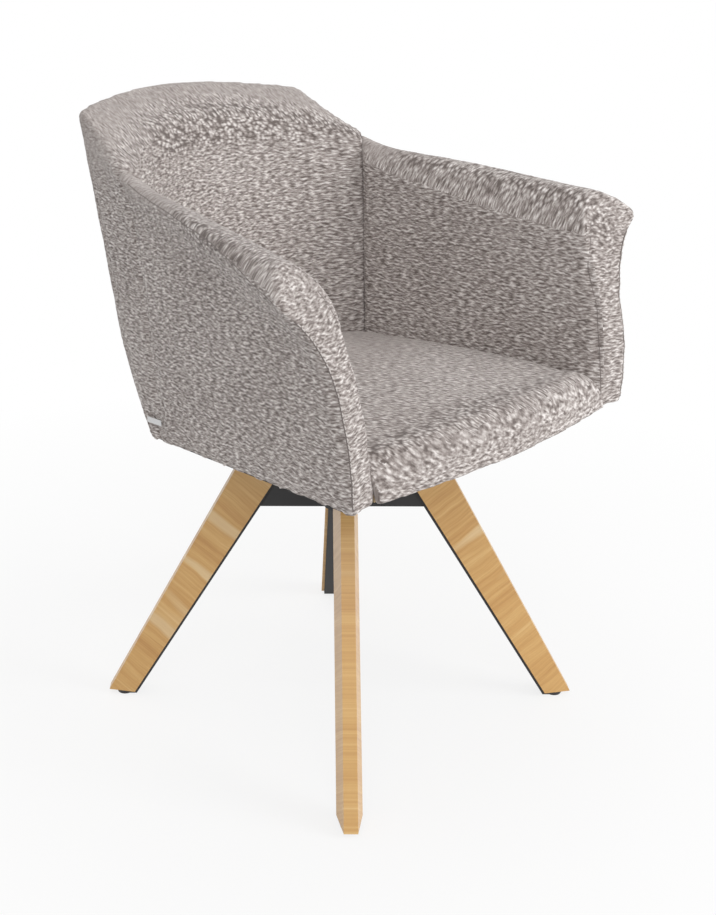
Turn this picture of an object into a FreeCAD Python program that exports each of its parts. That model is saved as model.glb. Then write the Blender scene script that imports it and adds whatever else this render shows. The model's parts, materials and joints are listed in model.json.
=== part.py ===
import os
import math

import FreeCAD
import Part

# Swivel tub chair: upholstered bucket shell on a four-legged wooden base with a steel cross.
# Units are millimetres. +Z is up, the chair faces -Y, +X is the sitter's left.
# Shapes are worked out around the swivel axis (x = 0, y = 0, floor z = 0) and every
# sub-part is shifted along Y at the end, so the origin is under the middle of the chair.

# Base sizes
LEG_TIP_RADIUS = 321.6
LEG_BOTTOM_Z = 6.0
LEG_BOTTOM_DEPTH = 36.1
LEG_TOP_Z = 336.0
LEG_TOP_OUTER_RADIUS = 142.905
LEG_TOP_INNER_RADIUS = 82.418
LEG_OUTER_SLOPE = (LEG_TIP_RADIUS - LEG_TOP_OUTER_RADIUS) / (LEG_TOP_Z - LEG_BOTTOM_Z)
LEG_INNER_SLOPE = ((LEG_TIP_RADIUS - LEG_BOTTOM_DEPTH - LEG_TOP_INNER_RADIUS)
                   / (LEG_TOP_Z - LEG_BOTTOM_Z))
LEG_OUTER_WIDTH = 17.0
LEG_INNER_WIDTH = 31.8
STRAP_WIDTH = 23.0
STRAP_THICKNESS = 4.0
STRAP_TAIL_INSET = 10.0
GLIDE_THICKNESS = 2.0
GLIDE_RADIUS = 10.5
GLIDE_STEM_RADIUS = 2.0
GLIDE_STEM_LENGTH = 12.0
BEAM_BOTTOM_Z = 284.0
BEAM_HEIGHT = 44.0
BEAM_WIDTH = 25.0
BEAM_WALL = 2.0
HUB_RADIUS = 24.0
HUB_WALL = 4.0
HUB_DROP = 3.0

# Leg fasteners
LEG_SCREW_RADIUS = 2.5
LEG_SCREW_HEAD_RADIUS = 5.0
LEG_SCREW_HEAD_HEIGHT = 2.5
LEG_SCREW_LENGTH = 22.0
LEG_SCREW_HEIGHTS = (90.0, 180.0, 262.0)

# Swivel sizes
LOWER_PLATE_SIDE = 148.0
PLATE_THICKNESS = 4.0
RACE_OUTER_RADIUS = 62.0
RACE_INNER_RADIUS = 40.0
RACE_THICKNESS = 5.0
BALL_RADIUS = 3.5
BALL_COUNT = 24
BALL_SEAT_DEPTH = 1.5
CAGE_THICKNESS = 2.0
SPINDLE_RADIUS = 9.0
BUSH_WALL = 11.0
BUSH_LENGTH = 14.0
SPINDLE_HEAD_RADIUS = 15.0
SPINDLE_HEAD_HEIGHT = 5.0
SPINDLE_NUT_RADIUS = 14.0
SPINDLE_NUT_HEIGHT = 8.0
SPINDLE_WASHER_RADIUS = 17.0
SPINDLE_WASHER_HEIGHT = 2.0
UPPER_PLATE_SIDE = 190.0
PLATE_CORNER_RADIUS = 14.0
RAIL_WIDTH = 42.0
RAIL_LENGTH = 210.0
RAIL_OFFSET = 68.0
MOUNT_BOLT_RADIUS = 4.0
MOUNT_BOLT_HEAD_RADIUS = 7.0
MOUNT_BOLT_HEAD_HEIGHT = 4.5
MOUNT_BOLT_SPACING = 136.0
MOUNT_BOLT_ROW = 130.0
INSERT_RADIUS = 7.0
INSERT_FLANGE_RADIUS = 11.0
INSERT_FLANGE_HEIGHT = 1.5

# Shell sizes
SHELL_FRONT_Y = -258.0
SHELL_BOTTOM_FRONT_Z = 428.0
SHELL_BOTTOM_RAKE = 0.1085
ARM_TIP_HALF_WIDTH = 338.0
ARM_FLARE = 71.0
SIDE_BOTTOM_HALF_WIDTH = ARM_TIP_HALF_WIDTH - ARM_FLARE
SIDE_TAPER = 0.174
SIDE_LEAN = 0.092
SIDE_COVER_THICKNESS = 4.0
FRAME_THICKNESS = 12.0
BOARD_THICKNESS = 12.0
BOTTOM_COVER_THICKNESS = 2.0

# Arm sizes
ARM_LOW_THICKNESS = 41.0
ARM_INNER_HALF_WIDTH = SIDE_BOTTOM_HALF_WIDTH - ARM_LOW_THICKNESS
ARM_INNER_TAPER = 0.156
ARM_INNER_LEAN = 0.13
ARM_TIP_Y = -214.0
ARM_RIM_TAPER = 0.273
ARM_TOP_Z = 718.0
ARM_TOP_SLOPE = 0.103
ARM_ROLL_REACH_FRONT = 32.0
ARM_ROLL_REACH_BACK = 14.0
ARM_SEAM_DROP_FRONT = 24.0
ARM_SEAM_DROP_BACK = 9.0
ARM_SEAM_DROP_START_Y = -40.0
ARM_LIP_HEIGHT_FRONT = 84.0
ARM_LIP_HEIGHT_BACK = 44.0
ARM_INNER_ROLL_FRONT = 88.0
ARM_INNER_ROLL_BACK = 34.0
SIDE_FRAME_TOP_GAP = 14.0
FACING_THICKNESS = 9.0
FACING_TURN = 0.2
FACING_REFERENCE_X = 300.0
FACING_LOW_Y = -264.8
FACING_STRAIGHT_Z = 455.0
FACING_MIDDLE_Y = -256.0
FACING_MIDDLE_Z = 530.0
FACING_HIGH_Y = -222.0
FACING_HIGH_Z = 632.0
FACING_CREST_Y = -202.0
FACING_CREST_Z = 671.0
FACING_TOP_Y = -154.0
PIPING_RADIUS = 1.6
PIPING_WALL_SHARES = (0.0, 0.22, 0.41, 0.6, 0.8)
PIPING_LIP_SHARES = (0.05, 0.35, 0.65, 0.94)
PIPING_BEND_SHARE = 0.45

# Back sizes
BACK_INNER_RADIUS = 300.0
BACK_INNER_Y = 163.0
BACK_INNER_RECLINE = 0.285
BACK_OUTER_RADIUS = 374.0
BACK_OUTER_TOP_Y = 349.0
BACK_OUTER_MIDDLE_Y = 292.0
BACK_OUTER_MIDDLE_Z = 548.0
BACK_OUTER_LOW_Y = 267.0
BACK_OUTER_LOW_Z = 465.0
BACK_OUTER_BOTTOM_Y = 222.0
BACK_TOP_Z = 825.0
BACK_RIM_SLOPE = 0.52
BACK_RIM_SIDE_RISE = 7.0
BACK_RIM_ROUND = 30.0
BACK_RIDGE_ROUND = 9.0
BACK_COVER_THICKNESS = 8.0
BACK_FRAME_THICKNESS = 12.0
BACK_FRAME_TOP_GAP = 34.0
BACK_ENDS_INSET = 93.0
SEAM_INNER_X = 169.0
SEAM_INNER_Y = 113.0
SEAM_TURN = 49.0

# Seat sizes
SEAT_TOP_Z = 471.0
SEAT_CROWN = 9.0
SEAT_FRONT_BOW = 19.0
SEAT_FRONT_ROUND = 56.0
SEAT_FRONT_WRAP = 11.0
SEAT_REAR_DROP = 8.0
SEAT_BACK_GAP = 0.6
SEAT_REFERENCE_Z = 465.0
SEAT_REFERENCE_Y = -250.0

# Trim sizes
TAG_LENGTH = 36.0
TAG_HEIGHT = 7.0
TAG_THICKNESS = 0.9
TAG_STANDOFF = 0.05
TAG_BACK_DISTANCE = 7.7
TAG_RISE = 24.0
FRAME_SCREW_RADIUS = 2.0
FRAME_SCREW_LENGTH = 34.0
FRAME_SCREW_COUNT = 4
FRAME_SCREW_SINK = 1.0

# Clearances
RUNNING_CLEARANCE = 0.05
HOLE_CLEARANCE = 0.1
SOFT_GAP = 0.3
COVER_GAP = 0.15
CUT_MARGIN = 100.0
REACH = 600.0
SHELL_REACH = 400.0
FIT_STEPS = 8

V = FreeCAD.Vector
Z_AXIS = V(0, 0, 1)


def line(start, end):
    return Part.LineSegment(start, end).toShape()


def arc(start, middle, end):
    return Part.Arc(start, middle, end).toShape()


def arc_y(start, middle, end, z):
    """The Y at height z of an arc in a plane of constant X, on its middle point's side."""
    circle = arc(start, middle, end).Curve
    rise = z - circle.Center.z
    side = math.copysign(1, middle.y - circle.Center.y)
    return circle.Center.y + side * math.sqrt(circle.Radius ** 2 - rise ** 2)


def face_of(edges):
    return Part.Face(Part.Wire(edges))


def polygon_face(points):
    return Part.Face(Part.makePolygon(points + [points[0]]))


def mirrored(shape):
    return shape.mirror(V(0, 0, 0), V(1, 0, 0))


def around(shape, degrees):
    turned = shape.copy()
    turned.rotate(V(0, 0, 0), Z_AXIS, degrees)
    return turned


def between(start, end, share):
    return start + (end - start) * share


# Shell surfaces, worked out for the +X half

def bottom_z(y):
    return SHELL_BOTTOM_FRONT_Z - SHELL_BOTTOM_RAKE * (y - SHELL_FRONT_Y)


def side_x(y, z):
    taper = SIDE_TAPER * (y - SHELL_FRONT_Y)
    return SIDE_BOTTOM_HALF_WIDTH - taper + SIDE_LEAN * (z - SHELL_BOTTOM_FRONT_Z)


def arm_inner_x(y, z):
    taper = ARM_INNER_TAPER * (y - SEAT_REFERENCE_Y)
    return ARM_INNER_HALF_WIDTH - taper + ARM_INNER_LEAN * (z - SEAT_REFERENCE_Z)


def sagitta(radius, x):
    return radius - math.sqrt(radius * radius - x * x)


def back_inner_y(x, z):
    recline = BACK_INNER_RECLINE * (z - SEAT_TOP_Z)
    return BACK_INNER_Y + recline - sagitta(BACK_INNER_RADIUS, x)


def rim_z(x, y):
    side_rise = BACK_RIM_SIDE_RISE * (x / SEAM_INNER_X) ** 2
    return BACK_TOP_Z + BACK_RIM_SLOPE * (y - BACK_OUTER_TOP_Y) + side_rise


def arm_share(y):
    return (SEAM_INNER_Y - y) / (SEAM_INNER_Y - ARM_TIP_Y)


# Base pieces, one leg direction at +X then turned to the diagonals

LEG_TURNS = {"rear_left": 45, "rear_right": 135, "front_right": 225, "front_left": 315}
BEAM_TOP_Z = BEAM_BOTTOM_Z + BEAM_HEIGHT
STRAP_TOP_Z = BEAM_TOP_Z


def leg_inner_radius(z):
    start = LEG_TIP_RADIUS - LEG_BOTTOM_DEPTH
    return start - LEG_INNER_SLOPE * (z - LEG_BOTTOM_Z)


def leg_outer_radius(z):
    return LEG_TIP_RADIUS - LEG_OUTER_SLOPE * (z - LEG_BOTTOM_Z)


STRAP_RUN = STRAP_THICKNESS * math.sqrt(1 + LEG_INNER_SLOPE ** 2)


def strap_inner_radius(z):
    return leg_inner_radius(z) - STRAP_RUN


def leg_slice(z):
    inner = leg_inner_radius(z)
    outer = leg_outer_radius(z)
    return Part.makePolygon([
        V(inner, -LEG_INNER_WIDTH / 2, z),
        V(outer, -LEG_OUTER_WIDTH / 2, z),
        V(outer, LEG_OUTER_WIDTH / 2, z),
        V(inner, LEG_INNER_WIDTH / 2, z),
        V(inner, -LEG_INNER_WIDTH / 2, z),
    ])


def screw_line(z):
    normal = V(1, 0, LEG_INNER_SLOPE)
    normal.normalize()
    return V(strap_inner_radius(z), 0, z), normal


def countersunk_screw(height, clearance):
    """A leg screw with its head flush in the strap; clearance makes it the hole."""
    foot, normal = screw_line(height)
    shaft = Part.makeCylinder(LEG_SCREW_RADIUS + clearance, LEG_SCREW_LENGTH + clearance, foot, normal)
    head = Part.makeCone(LEG_SCREW_HEAD_RADIUS + clearance, LEG_SCREW_RADIUS + clearance,
                         LEG_SCREW_HEAD_HEIGHT, foot, normal)
    return shaft.fuse(head)


def with_screw_holes(body):
    for height in LEG_SCREW_HEIGHTS:
        body = body.cut(countersunk_screw(height, HOLE_CLEARANCE))
    return body


def glide_centre():
    return LEG_TIP_RADIUS - STRAP_TAIL_INSET - STRAP_WIDTH / 2


def leg():
    body = Part.makeLoft([leg_slice(LEG_BOTTOM_Z), leg_slice(LEG_TOP_Z)], True, True)
    body = with_screw_holes(body)
    hole_bottom = V(glide_centre(), 0, GLIDE_THICKNESS)
    hole = Part.makeCylinder(GLIDE_STEM_RADIUS + HOLE_CLEARANCE, GLIDE_STEM_LENGTH, hole_bottom)
    return body.cut(hole)


def leg_strap():
    tail_bottom = LEG_BOTTOM_Z - STRAP_THICKNESS
    corner = V(strap_inner_radius(tail_bottom), 0, tail_bottom)
    profile = polygon_face([
        corner,
        V(glide_centre(), 0, tail_bottom),
        V(glide_centre(), 0, LEG_BOTTOM_Z),
        V(leg_inner_radius(LEG_BOTTOM_Z), 0, LEG_BOTTOM_Z),
        V(leg_inner_radius(STRAP_TOP_Z), 0, STRAP_TOP_Z),
        V(strap_inner_radius(STRAP_TOP_Z), 0, STRAP_TOP_Z),
    ])
    profile.translate(V(0, -STRAP_WIDTH / 2, 0))
    strap = profile.extrude(V(0, STRAP_WIDTH, 0))
    end_centre = V(glide_centre(), 0, tail_bottom)
    strap = strap.fuse(Part.makeCylinder(STRAP_WIDTH / 2, STRAP_THICKNESS, end_centre))
    strap = with_screw_holes(strap)
    hole = Part.makeCylinder(GLIDE_STEM_RADIUS + HOLE_CLEARANCE, STRAP_THICKNESS, end_centre)
    return strap.cut(hole).removeSplitter()


def foot_glide():
    disc = Part.makeCylinder(GLIDE_RADIUS, GLIDE_THICKNESS, V(glide_centre(), 0, 0))
    stem_bottom = V(glide_centre(), 0, GLIDE_THICKNESS)
    stem = Part.makeCylinder(GLIDE_STEM_RADIUS, GLIDE_STEM_LENGTH, stem_bottom)
    return disc.fuse(stem)


def leg_screws():
    screws = []
    for turn in LEG_TURNS.values():
        for height in LEG_SCREW_HEIGHTS:
            screws.append(around(countersunk_screw(height, 0), turn))
    return Part.makeCompound(screws)


def beam_arm():
    end_profile = polygon_face([
        V(0, 0, BEAM_BOTTOM_Z),
        V(strap_inner_radius(BEAM_BOTTOM_Z), 0, BEAM_BOTTOM_Z),
        V(strap_inner_radius(BEAM_TOP_Z), 0, BEAM_TOP_Z),
        V(0, 0, BEAM_TOP_Z),
    ])
    end_profile.translate(V(0, -BEAM_WIDTH / 2, 0))
    solid = end_profile.extrude(V(0, BEAM_WIDTH, 0))
    bore = Part.makeBox(REACH, BEAM_WIDTH - 2 * BEAM_WALL, BEAM_HEIGHT - 2 * BEAM_WALL,
                        V(0, BEAM_WALL - BEAM_WIDTH / 2, BEAM_BOTTOM_Z + BEAM_WALL))
    hub = Part.makeCylinder(HUB_RADIUS, REACH, V(0, 0, 0))
    return solid.cut(bore).cut(hub)


def hub_tube():
    height = BEAM_HEIGHT + HUB_DROP
    bottom = V(0, 0, BEAM_BOTTOM_Z - HUB_DROP)
    outer = Part.makeCylinder(HUB_RADIUS, height, bottom)
    return outer.cut(Part.makeCylinder(HUB_RADIUS - HUB_WALL, height, bottom))


# Swivel unit

LOWER_PLATE_Z = BEAM_TOP_Z
LOWER_RACE_Z = LOWER_PLATE_Z + PLATE_THICKNESS
BALL_CENTRE_Z = LOWER_RACE_Z + RACE_THICKNESS - BALL_SEAT_DEPTH + BALL_RADIUS
UPPER_RACE_Z = BALL_CENTRE_Z + BALL_RADIUS - BALL_SEAT_DEPTH
UPPER_PLATE_Z = UPPER_RACE_Z + RACE_THICKNESS
RAIL_BOTTOM_Z = UPPER_PLATE_Z + PLATE_THICKNESS
BALL_TRACK_RADIUS = (RACE_OUTER_RADIUS + RACE_INNER_RADIUS) / 2
SPINDLE_BORE_RADIUS = SPINDLE_RADIUS + RUNNING_CLEARANCE
BUSH_RADIUS = SPINDLE_RADIUS + BUSH_WALL


def square_plate(side, bottom, bore_radius, turn):
    half = side / 2
    plate = Part.makeBox(side, side, PLATE_THICKNESS, V(-half, -half, bottom))
    corners = [edge for edge in plate.Edges if abs(edge.BoundBox.ZLength - PLATE_THICKNESS) < 0.01]
    plate = plate.makeFillet(PLATE_CORNER_RADIUS, corners)
    plate = plate.cut(Part.makeCylinder(bore_radius, PLATE_THICKNESS, V(0, 0, bottom)))
    return around(plate, turn)


def lower_plate():
    return square_plate(LOWER_PLATE_SIDE, LOWER_PLATE_Z, BUSH_RADIUS, 45)


def upper_plate():
    plate = square_plate(UPPER_PLATE_SIDE, UPPER_PLATE_Z, SPINDLE_RADIUS, 0)
    for x, y in bolt_places():
        plate = plate.cut(Part.makeCylinder(MOUNT_BOLT_RADIUS + HOLE_CLEARANCE, PLATE_THICKNESS,
                                            V(x, y, UPPER_PLATE_Z)))
    return plate


def race(bottom):
    ring = Part.makeCylinder(RACE_OUTER_RADIUS, RACE_THICKNESS, V(0, 0, bottom))
    ring = ring.cut(Part.makeCylinder(RACE_INNER_RADIUS, RACE_THICKNESS, V(0, 0, bottom)))
    track = Part.makeTorus(BALL_TRACK_RADIUS, BALL_RADIUS + RUNNING_CLEARANCE,
                           V(0, 0, BALL_CENTRE_Z))
    return ring.cut(track)


def ball_places():
    places = []
    for index in range(BALL_COUNT):
        angle = 2 * math.pi * index / BALL_COUNT
        places.append(V(BALL_TRACK_RADIUS * math.cos(angle),
                        BALL_TRACK_RADIUS * math.sin(angle), BALL_CENTRE_Z))
    return places


def bearing_balls():
    return Part.makeCompound([Part.makeSphere(BALL_RADIUS, place) for place in ball_places()])


def ball_cage():
    half = CAGE_THICKNESS / 2
    rim = BALL_RADIUS + CAGE_THICKNESS
    bottom = V(0, 0, BALL_CENTRE_Z - half)
    ring = Part.makeCylinder(BALL_TRACK_RADIUS + rim, CAGE_THICKNESS, bottom)
    ring = ring.cut(Part.makeCylinder(BALL_TRACK_RADIUS - rim, CAGE_THICKNESS, bottom))
    for place in ball_places():
        pocket = V(place.x, place.y, BALL_CENTRE_Z - half)
        ring = ring.cut(Part.makeCylinder(BALL_RADIUS + HOLE_CLEARANCE, CAGE_THICKNESS, pocket))
    return ring


def spindle_bush():
    bottom = V(0, 0, LOWER_RACE_Z - BUSH_LENGTH)
    outer = Part.makeCylinder(BUSH_RADIUS, BUSH_LENGTH, bottom)
    return outer.cut(Part.makeCylinder(SPINDLE_BORE_RADIUS, BUSH_LENGTH, bottom))


WASHER_TOP_Z = LOWER_RACE_Z - BUSH_LENGTH - HOLE_CLEARANCE
NUT_TOP_Z = WASHER_TOP_Z - SPINDLE_WASHER_HEIGHT
SPINDLE_END_Z = NUT_TOP_Z - SPINDLE_NUT_HEIGHT - 2.0


def spindle():
    shaft_height = RAIL_BOTTOM_Z - SPINDLE_END_Z
    shaft = Part.makeCylinder(SPINDLE_RADIUS, shaft_height, V(0, 0, SPINDLE_END_Z))
    head = Part.makeCylinder(SPINDLE_HEAD_RADIUS, SPINDLE_HEAD_HEIGHT, V(0, 0, RAIL_BOTTOM_Z))
    return shaft.fuse(head)


def spindle_washer():
    bottom = V(0, 0, NUT_TOP_Z)
    ring = Part.makeCylinder(SPINDLE_WASHER_RADIUS, SPINDLE_WASHER_HEIGHT, bottom)
    return ring.cut(Part.makeCylinder(SPINDLE_RADIUS, SPINDLE_WASHER_HEIGHT, bottom))


def spindle_nut():
    bottom = NUT_TOP_Z - SPINDLE_NUT_HEIGHT
    corners = []
    for index in range(6):
        angle = math.pi * index / 3
        corners.append(V(SPINDLE_NUT_RADIUS * math.cos(angle),
                         SPINDLE_NUT_RADIUS * math.sin(angle), bottom))
    nut = polygon_face(corners).extrude(V(0, 0, SPINDLE_NUT_HEIGHT))
    return nut.cut(Part.makeCylinder(SPINDLE_RADIUS, SPINDLE_NUT_HEIGHT, V(0, 0, bottom)))


def bolt_places():
    half_x = MOUNT_BOLT_SPACING / 2
    half_y = MOUNT_BOLT_ROW / 2
    return [(x, y) for x in (-half_x, half_x) for y in (-half_y, half_y)]


def board_bottom_z(y):
    return bottom_z(y) + BOTTOM_COVER_THICKNESS


def board_top_z(y):
    return board_bottom_z(y) + BOARD_THICKNESS


def mount_bolts():
    bolts = []
    for x, y in bolt_places():
        length = board_top_z(y) - UPPER_PLATE_Z
        shaft = Part.makeCylinder(MOUNT_BOLT_RADIUS, length, V(x, y, UPPER_PLATE_Z))
        head_bottom = V(x, y, UPPER_PLATE_Z - MOUNT_BOLT_HEAD_HEIGHT)
        head = Part.makeCylinder(MOUNT_BOLT_HEAD_RADIUS, MOUNT_BOLT_HEAD_HEIGHT, head_bottom)
        bolts.append(shaft.fuse(head))
    return Part.makeCompound(bolts)


def insert_solid(x, y, bore):
    barrel = Part.makeCylinder(INSERT_RADIUS, REACH, V(x, y, 0))
    flange = Part.makeCylinder(INSERT_FLANGE_RADIUS, REACH, V(x, y, 0))
    inside = barrel.common(shell_slab(BOTTOM_COVER_THICKNESS, board_depth()))
    seat = flange.common(shell_slab(board_depth(), board_depth() + INSERT_FLANGE_HEIGHT))
    whole = inside.fuse(seat)
    if bore:
        whole = whole.cut(Part.makeCylinder(MOUNT_BOLT_RADIUS, REACH, V(x, y, 0)))
    return whole


def board_depth():
    return BOTTOM_COVER_THICKNESS + BOARD_THICKNESS


def threaded_inserts():
    return Part.makeCompound([insert_solid(x, y, True) for x, y in bolt_places()])


def mount_rail():
    x0 = RAIL_OFFSET - RAIL_WIDTH / 2
    front = -RAIL_LENGTH / 2
    back = RAIL_LENGTH / 2
    side = polygon_face([
        V(x0, front, RAIL_BOTTOM_Z),
        V(x0, back, RAIL_BOTTOM_Z),
        V(x0, back, bottom_z(back)),
        V(x0, front, bottom_z(front)),
    ])
    rail = side.extrude(V(RAIL_WIDTH, 0, 0))
    for x, y in bolt_places():
        rail = rail.cut(Part.makeCylinder(MOUNT_BOLT_RADIUS + HOLE_CLEARANCE, REACH, V(x, y, 0)))
    return rail


# Shell helpers

def shell_slab(low, high):
    side = polygon_face([
        V(-REACH, -REACH, bottom_z(-REACH) + low),
        V(-REACH, REACH, bottom_z(REACH) + low),
        V(-REACH, REACH, bottom_z(REACH) + high),
        V(-REACH, -REACH, bottom_z(-REACH) + high),
    ])
    return side.extrude(V(2 * REACH, 0, 0))


def between_planes(half_width, inset):
    """Everything between two mirrored leaning planes, each moved in by inset."""
    low = LOWER_RACE_Z
    high = BACK_TOP_Z
    front = -SHELL_REACH
    back = SHELL_REACH
    corners = {}
    for y in (front, back):
        for z in (low, high):
            x = half_width(y, z) - inset
            corners[y, z] = (V(-x, y, z), V(x, y, z))
    bottom_left, bottom_right = corners[front, low]
    top_left, top_right = corners[front, high]
    far_bottom_left, far_bottom_right = corners[back, low]
    far_top_left, far_top_right = corners[back, high]
    faces = [
        polygon_face([bottom_left, bottom_right, top_right, top_left]),
        polygon_face([far_bottom_left, far_bottom_right, far_top_right, far_top_left]),
        polygon_face([bottom_left, far_bottom_left, far_top_left, top_left]),
        polygon_face([bottom_right, far_bottom_right, far_top_right, top_right]),
        polygon_face([bottom_left, bottom_right, far_bottom_right, far_bottom_left]),
        polygon_face([top_left, top_right, far_top_right, far_top_left]),
    ]
    return Part.Solid(Part.Shell(faces))




def seam_wedge():
    """Everything behind the seams between the arms and the back."""
    angle = math.radians(SEAM_TURN)
    run = REACH
    x = SEAM_INNER_X + run * math.cos(angle)
    y = SEAM_INNER_Y + run * math.sin(angle)
    pivot_y = SEAM_INNER_Y - SEAM_INNER_X * math.tan(angle)
    base = polygon_face([V(0, pivot_y, 0), V(x, y, 0), V(0, y + run, 0), V(-x, y, 0)])
    return base.extrude(V(0, 0, 2 * REACH))


# Back pieces, lofted from sections across the chair

BACK_SPREAD = ARM_TIP_HALF_WIDTH - BACK_ENDS_INSET
BACK_STATIONS = (-BACK_SPREAD, -180.0, -95.0, 0.0, 95.0, 180.0, BACK_SPREAD)


def back_outer_low(x, inset):
    drop = sagitta(BACK_OUTER_RADIUS, x)
    y0 = BACK_OUTER_BOTTOM_Y - drop - inset
    start = V(x, y0, bottom_z(y0))
    middle = V(x, BACK_OUTER_LOW_Y - drop - inset, BACK_OUTER_LOW_Z)
    end = V(x, BACK_OUTER_MIDDLE_Y - drop - inset, BACK_OUTER_MIDDLE_Z)
    return start, middle, end


def back_ridge(x, inset):
    y = BACK_OUTER_TOP_Y - sagitta(BACK_OUTER_RADIUS, x) - inset
    return V(x, y, rim_z(x, BACK_OUTER_TOP_Y - sagitta(BACK_OUTER_RADIUS, x)))


def back_inner_edge(x):
    """Where the inner face of the back meets the sloping rim."""
    top = rim_z(x, 0)
    lift = BACK_INNER_RECLINE * BACK_RIM_SLOPE
    y = (back_inner_y(x, SEAT_TOP_Z) + BACK_INNER_RECLINE * (top - SEAT_TOP_Z)) / (1 - lift)
    return V(x, y, rim_z(x, y))


def on_level(x, y, depth, surface_y):
    """The point where a back surface is at this depth above the shell's bottom plane."""
    for step in range(FIT_STEPS):
        y = surface_y(bottom_z(y) + depth)
    return V(x, y, bottom_z(y) + depth)


def back_pad_section(x):
    inset = BACK_COVER_THICKNESS + BACK_FRAME_THICKNESS + COVER_GAP
    low, mid, high = back_outer_low(x, inset)
    ridge = back_ridge(x, BACK_COVER_THICKNESS + COVER_GAP)
    step_z = ridge.z - BACK_FRAME_TOP_GAP
    outer_at = between(high, back_ridge(x, inset), (step_z - high.z) / (ridge.z - high.z))
    step_in = V(x, outer_at.y, step_z)
    step_out = V(x, outer_at.y + BACK_FRAME_THICKNESS, step_z)
    edge = back_inner_edge(x)
    down = V(0, -BACK_INNER_RECLINE, -1)
    down.normalize()
    up = V(0, 1, BACK_RIM_SLOPE)
    up.normalize()
    rise_start = edge + down * BACK_RIM_ROUND
    rise_end = edge + up * BACK_RIM_ROUND
    rise_middle = edge + (down + up) * (BACK_RIM_ROUND * 0.32)
    floor_out = on_level(x, low.y, board_depth(), lambda z: arc_y(low, mid, high, z))
    floor_in = on_level(x, low.y, board_depth(), lambda z: back_inner_y(x, z))
    return Part.Wire([
        line(floor_in, floor_out),
        arc(floor_out, mid, high),
        line(high, step_in),
        line(step_in, step_out),
        line(step_out, ridge),
        line(ridge, rise_end),
        arc(rise_end, rise_middle, rise_start),
        line(rise_start, floor_in),
    ])


def back_frame_section(x):
    outer = BACK_COVER_THICKNESS + COVER_GAP
    inner = BACK_COVER_THICKNESS + BACK_FRAME_THICKNESS
    low_o, mid_o, high_o = back_outer_low(x, outer)
    low_i, mid_i, high_i = back_outer_low(x, inner)
    ridge = back_ridge(x, outer)
    step_z = ridge.z - BACK_FRAME_TOP_GAP - COVER_GAP
    share = (step_z - high_o.z) / (ridge.z - high_o.z)
    top_o = between(high_o, ridge, share)
    top_i = between(high_i, back_ridge(x, inner), share)
    cover = BOTTOM_COVER_THICKNESS
    foot_o = on_level(x, low_o.y, cover, lambda z: arc_y(low_o, mid_o, high_o, z))
    foot_i = on_level(x, low_i.y, cover, lambda z: arc_y(low_i, mid_i, high_i, z))
    return Part.Wire([
        line(foot_i, foot_o),
        arc(foot_o, mid_o, high_o),
        line(high_o, top_o),
        line(top_o, top_i),
        line(top_i, high_i),
        arc(high_i, mid_i, foot_i),
    ])


def back_cover_section(x):
    inner = BACK_COVER_THICKNESS
    low_o, mid_o, high_o = back_outer_low(x, 0)
    low_i, mid_i, high_i = back_outer_low(x, inner)
    ridge_i = back_ridge(x, inner)
    ridge_o = back_ridge(x, 0)
    round_start = between(ridge_o, high_o, BACK_RIDGE_ROUND / (ridge_o.z - high_o.z))
    corner = V(x, (ridge_i.y + ridge_o.y) / 2 + 2, (ridge_i.z + ridge_o.z) / 2 - 1)
    return Part.Wire([
        line(low_i, low_o),
        arc(low_o, mid_o, high_o),
        line(high_o, round_start),
        arc(round_start, corner, ridge_i),
        line(ridge_i, high_i),
        arc(high_i, mid_i, low_i),
    ])


def back_piece(section):
    loft = Part.makeLoft([section(x) for x in BACK_STATIONS], True, False)
    inside = arm_loft(inside_cover_section)
    return loft.common(seam_wedge()).common(inside).common(mirrored(inside))


# Arm pieces, lofted from sections along the +X arm

ARM_STATIONS = (-275.0, -235.0, -195.0, -150.0, -95.0, -30.0, 50.0, 120.0, 165.0, 225.0,
                290.0, 360.0)


def arm_points(y):
    share = arm_share(y)
    reach = between(ARM_ROLL_REACH_BACK, ARM_ROLL_REACH_FRONT, share)
    lip = between(ARM_LIP_HEIGHT_BACK, ARM_LIP_HEIGHT_FRONT, share)
    roll = between(ARM_INNER_ROLL_BACK, ARM_INNER_ROLL_FRONT, share)
    seam_x = ARM_TIP_HALF_WIDTH - ARM_RIM_TAPER * (y - ARM_TIP_Y)
    top_z = max(ARM_TOP_Z + ARM_TOP_SLOPE * y, rim_z(seam_x, y))
    forward = max(0.0, (ARM_SEAM_DROP_START_Y - y) / (ARM_SEAM_DROP_START_Y - ARM_TIP_Y))
    drop = ARM_SEAM_DROP_BACK + ARM_SEAM_DROP_FRONT * forward ** 1.3
    seam_z = top_z - drop
    seam = V(max(seam_x, side_x(y, seam_z)), y, seam_z)
    top = V(seam_x - reach, y, top_z)
    lip_z = seam.z - lip
    lip_start = V(side_x(y, lip_z), y, lip_z)
    inner_z = top_z - roll
    inner = V(arm_inner_x(y, inner_z), y, inner_z)
    return lip_start, seam, top, inner


def lip_middle(lip_start, seam):
    """The flare turns outward late, so its middle stays near the side plane."""
    plane_rise = SIDE_LEAN * (seam.z - lip_start.z)
    flare = seam.x - lip_start.x - plane_rise
    return between(lip_start, seam, 0.55) + V(-0.2 * flare - 0.01, 0, 0)


def lip_arc(lip_start, seam):
    return arc(lip_start, lip_middle(lip_start, seam), seam)


def roll_arc(seam, top):
    middle = between(seam, top, 0.5)
    reach = abs(seam.x - top.x)
    return arc(seam, middle + V(reach * 0.1, 0, reach * 0.14), top)


def inner_arc(top, inner):
    middle = V(between(inner.x, top.x, 0.3), top.y, between(inner.z, top.z, 0.68))
    return arc(top, middle, inner)


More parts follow.
